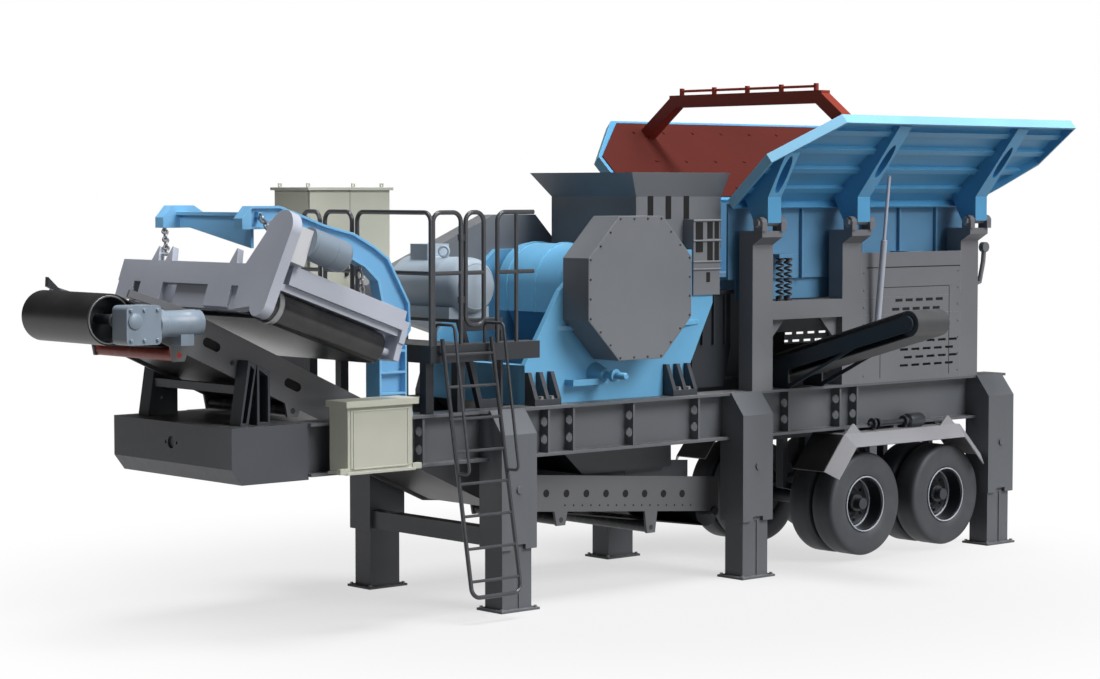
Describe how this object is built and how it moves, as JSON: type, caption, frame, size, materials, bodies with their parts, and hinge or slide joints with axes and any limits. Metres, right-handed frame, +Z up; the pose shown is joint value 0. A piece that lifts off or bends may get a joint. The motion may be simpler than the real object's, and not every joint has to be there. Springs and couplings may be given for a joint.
{
  "type": "mobile jaw crusher",
  "caption": "Towed jaw crushing plant on support legs: hopper and feeder, jaw crusher, discharge conveyor with overband magnet, side conveyor, platform and wheels.",
  "frame": {"origin": "centre of the bounding box on the floor under the feet", "axes": "+X from the discharge head to the hopper, -Y the ladder side, +Z up"},
  "size_m": [11.684, 4.4089, 4.9852],
  "materials": {
    "blue_paint": "satin sky-blue machine paint",
    "grey_paint": "satin mid-grey chassis paint",
    "charcoal_paint": "satin charcoal paint",
    "beige_paint": "powder-coated beige grey",
    "brown_paint": "red-brown primer",
    "motor_paint": "grey-blue motor enamel",
    "rail_paint": "steel-grey tube paint",
    "rim_paint": "silver-grey wheel paint",
    "bare_steel": "worn bare steel",
    "tyre_rubber": "dusty tread rubber",
    "belt_rubber": "black conveyor rubber"
  },
  "bodies": {
    "plant": {"chassis_beams": "grey_paint", "chassis_cross_members": "grey_paint", "front_box": "grey_paint", "leg_casings": "charcoal_paint", "leg_rams": "charcoal_paint", "running_gear": "charcoal_paint", "fenders": "grey_paint", "crusher_frame": "blue_paint", "swing_jaw": "blue_paint", "crusher_feet": "charcoal_paint", "flywheel_guard": "grey_paint", "belt_guard": "charcoal_paint", "inlet_chute": "charcoal_paint", "discharge_spout": "charcoal_paint", "motor": "motor_paint", "motor_base": "charcoal_paint", "feeder_trough": "blue_paint", "feeder_springs": "charcoal_paint", "hopper_posts": "charcoal_paint", "side_panels": "grey_paint", "hopper_wings": "blue_paint", "hopper_liners": "brown_paint", "hopper_rear_wall": "blue_paint", "arch": "brown_paint", "wing_cylinders": "bare_steel", "conveyor_side_plates": "grey_paint", "conveyor_belt": "belt_rubber", "conveyor_drums": "bare_steel", "return_rollers": "brown_paint", "gear_motor": "motor_paint", "conveyor_posts": "charcoal_paint", "magnet_frame": "grey_paint", "magnet_belt": "belt_rubber", "magnet_motor": "motor_paint", "magnet_chains": "bare_steel", "jib": "blue_paint", "platform": "charcoal_paint", "railings": "rail_paint", "ladder": "rail_paint", "cabinet_body": "beige_paint", "small_box": "beige_paint", "side_conveyor_frame": "grey_paint", "side_conveyor_belt": "belt_rubber", "side_conveyor_drums": "bare_steel"},
    "near_front_wheels": {"near_front_tyres": "tyre_rubber", "near_front_rims": "rim_paint"},
    "near_rear_wheels": {"near_rear_tyres": "tyre_rubber", "near_rear_rims": "rim_paint"},
    "far_front_wheels": {"far_front_tyres": "tyre_rubber", "far_front_rims": "rim_paint"},
    "far_rear_wheels": {"far_rear_tyres": "tyre_rubber", "far_rear_rims": "rim_paint"},
    "door_leaf": {"cabinet_door": "beige_paint"},
    "gate_leaf": {"ladder_gate": "rail_paint"}
  },
  "joints": [
    {"name": "near_front_wheels_spin", "type": "hinge", "parent": "plant", "child": "near_front_wheels", "pos_m": [3.272, -0.29453, 0.6], "axis": [0, 1, 0], "continuous": true},
    {"name": "near_rear_wheels_spin", "type": "hinge", "parent": "plant", "child": "near_rear_wheels", "pos_m": [4.572, -0.29453, 0.6], "axis": [0, 1, 0], "continuous": true},
    {"name": "far_front_wheels_spin", "type": "hinge", "parent": "plant", "child": "far_front_wheels", "pos_m": [3.272, 1.18547, 0.6], "axis": [0, 1, 0], "continuous": true},
    {"name": "far_rear_wheels_spin", "type": "hinge", "parent": "plant", "child": "far_rear_wheels", "pos_m": [4.572, 1.18547, 0.6], "axis": [0, 1, 0], "continuous": true},
    {"name": "door_swing", "type": "hinge", "parent": "plant", "child": "door_leaf", "pos_m": [-2.462, 1.42847, 3.19], "axis": [0, 0, -1], "range_deg": [0, 85]},
    {"name": "gate_swing", "type": "hinge", "parent": "plant", "child": "gate_leaf", "pos_m": [-2.183, -0.53053, 3.1], "axis": [0, 0, 1], "range_deg": [0, 95]}
  ]
}
